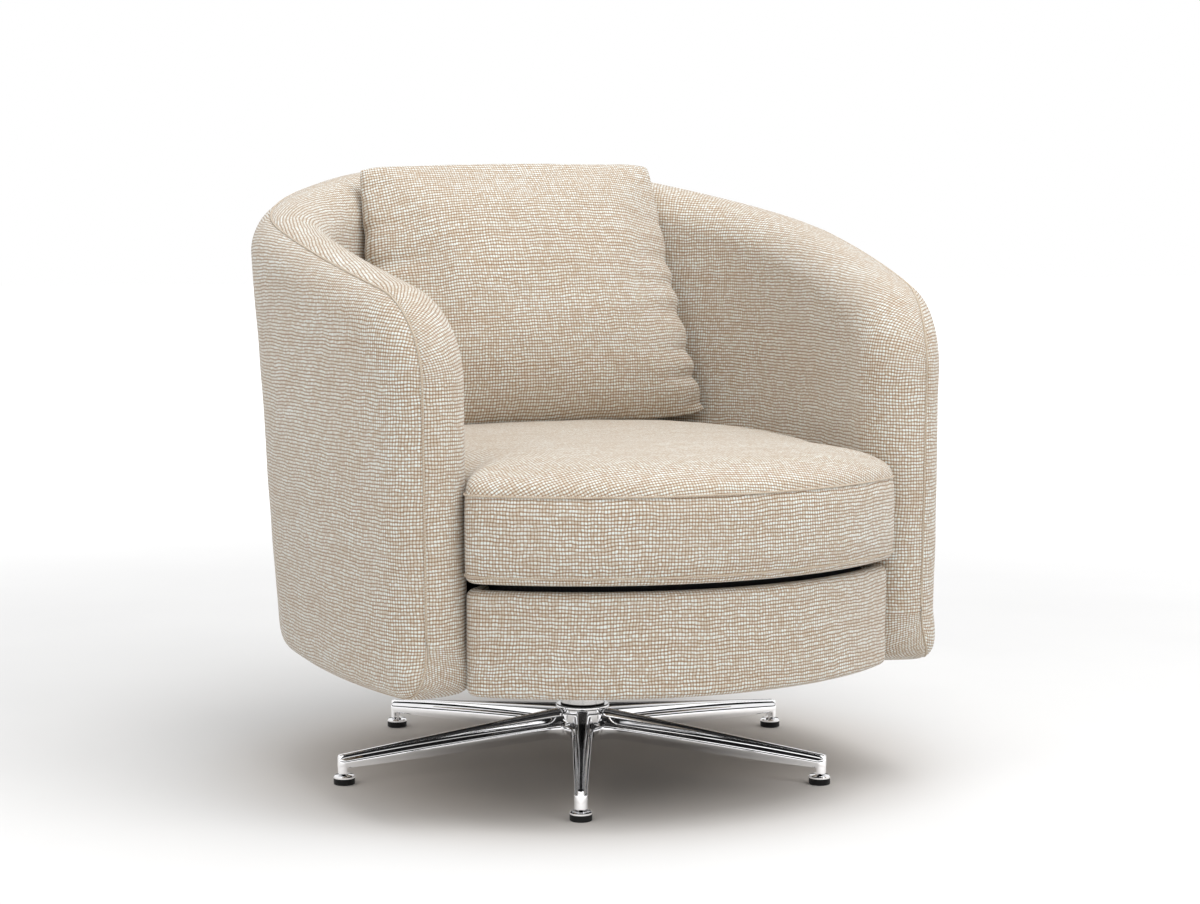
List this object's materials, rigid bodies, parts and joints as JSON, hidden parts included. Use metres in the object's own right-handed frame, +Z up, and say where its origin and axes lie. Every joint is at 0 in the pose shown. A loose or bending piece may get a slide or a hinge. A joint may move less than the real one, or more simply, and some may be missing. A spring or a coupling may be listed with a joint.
{
  "type": "swivel chair",
  "caption": "Barrel-shaped upholstered armchair with a loose seat cushion and back pillow, swivelling on a star base with levelling glides.",
  "frame": {"origin": "centre of the swivel axis at floor level, under the middle of the chair's box", "axes": "+Z up along the swivel axis; the chair faces -Y, so +Y is the back; +X is the chair's left arm as its sitter sees it"},
  "size_m": [0.8162, 0.854, 0.7783],
  "materials": {
    "chrome": "mirror polished",
    "satin_metal": "satin",
    "steel": "zinc plated, dull",
    "cage_brass": "stamped",
    "nylon": "moulded",
    "rubber": "matte",
    "plywood": "raw birch plywood",
    "webbing": "woven elastic webbing",
    "deck_cloth": "black non-woven cloth over foam",
    "upholstery": "chunky basket weave, cream and beige"
  },
  "bodies": {
    "base": {"star_base": "chrome", "spindle": "steel", "spindle_washer": "steel", "spindle_nut": "steel", "lower_race": "steel", "ball_cage": "cage_brass", "bearing_balls": "steel", "dust_seal": "rubber", "clip_washer": "steel", "retaining_clip": "steel"},
    "seat": {"upper_race": "steel", "swivel_tube": "steel", "lower_bush": "nylon", "upper_bush": "nylon", "column_sleeve": "satin_metal", "top_plate": "steel", "plate_bolts": "steel", "tee_nuts": "steel", "lower_board": "plywood", "seat_ring": "plywood", "carcass_blocks": "plywood", "front_board": "plywood", "shell_frame": "plywood", "shell_bolts": "steel", "cross_straps": "webbing", "long_straps": "webbing", "deck_pad": "deck_cloth", "dust_cover": "deck_cloth", "skirt": "upholstery", "shell_cover": "upholstery"},
    "levelling_glide_1": {"glide_1": "chrome", "glide_pad_1": "rubber"},
    "levelling_glide_2": {"glide_2": "chrome", "glide_pad_2": "rubber"},
    "levelling_glide_3": {"glide_3": "chrome", "glide_pad_3": "rubber"},
    "levelling_glide_4": {"glide_4": "chrome", "glide_pad_4": "rubber"},
    "levelling_glide_5": {"glide_5": "chrome", "glide_pad_5": "rubber"},
    "cushion": {"seat_cushion": "upholstery"},
    "pillow": {"back_pillow": "upholstery"}
  },
  "joints": [
    {"name": "swivel", "type": "hinge", "parent": "base", "child": "seat", "pos_m": [0, 0, 0], "axis": [0, 0, 1], "continuous": true},
    {"name": "glide_1_screw", "type": "slide", "parent": "base", "child": "levelling_glide_1", "axis": [0, 0, -1], "range_m": [0, 0.006]},
    {"name": "glide_2_screw", "type": "slide", "parent": "base", "child": "levelling_glide_2", "axis": [0, 0, -1], "range_m": [0, 0.006]},
    {"name": "glide_3_screw", "type": "slide", "parent": "base", "child": "levelling_glide_3", "axis": [0, 0, -1], "range_m": [0, 0.006]},
    {"name": "glide_4_screw", "type": "slide", "parent": "base", "child": "levelling_glide_4", "axis": [0, 0, -1], "range_m": [0, 0.006]},
    {"name": "glide_5_screw", "type": "slide", "parent": "base", "child": "levelling_glide_5", "axis": [0, 0, -1], "range_m": [0, 0.006]},
    {"name": "cushion_lift_off", "type": "slide", "parent": "seat", "child": "cushion", "axis": [0, 0, 1], "range_m": [0, 0.12]},
    {"name": "pillow_lift_off", "type": "slide", "parent": "cushion", "child": "pillow", "axis": [0, 0, 1], "range_m": [0, 0.3]}
  ]
}
